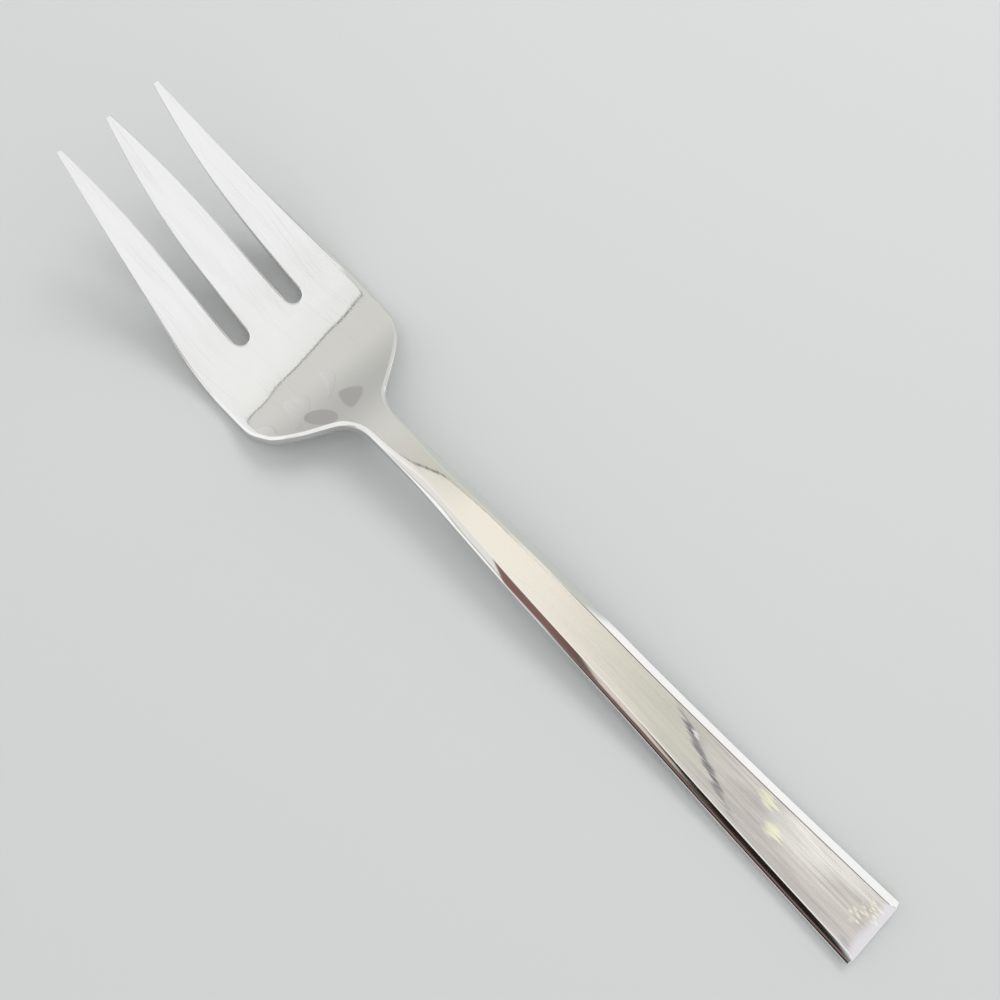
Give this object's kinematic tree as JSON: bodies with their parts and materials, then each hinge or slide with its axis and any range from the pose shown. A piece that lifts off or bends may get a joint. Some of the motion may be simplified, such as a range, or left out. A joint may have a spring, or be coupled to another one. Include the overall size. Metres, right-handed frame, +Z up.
{
  "type": "cold meat fork",
  "caption": "Stainless steel cold meat fork with pointed upswept tines, a wide palm, a narrow arched neck and a flat bevelled handle that widens to a square-cut end, for lifting sliced meat.",
  "frame": {"origin": "middle of the fork's length, on its plane of symmetry, at the level of the table it rests on", "axes": "+X along the fork towards the tips of the tines, +Y to the fork's left, +Z up"},
  "size_m": [0.21, 0.04, 0.0291],
  "materials": {
    "brushed_handle": "stainless steel brushed along the handle, with brighter bevels",
    "polished_neck": "stainless steel, polished, with faint lengthwise brushing",
    "polished_head": "stainless steel polished to a soft mirror, with fine scratches from use"
  },
  "bodies": {
    "root": {"handle": "brushed_handle", "neck": "polished_neck", "palm": "polished_head", "left_tine": "polished_head", "middle_tine": "polished_head", "right_tine": "polished_head"}
  },
  "joints": []
}
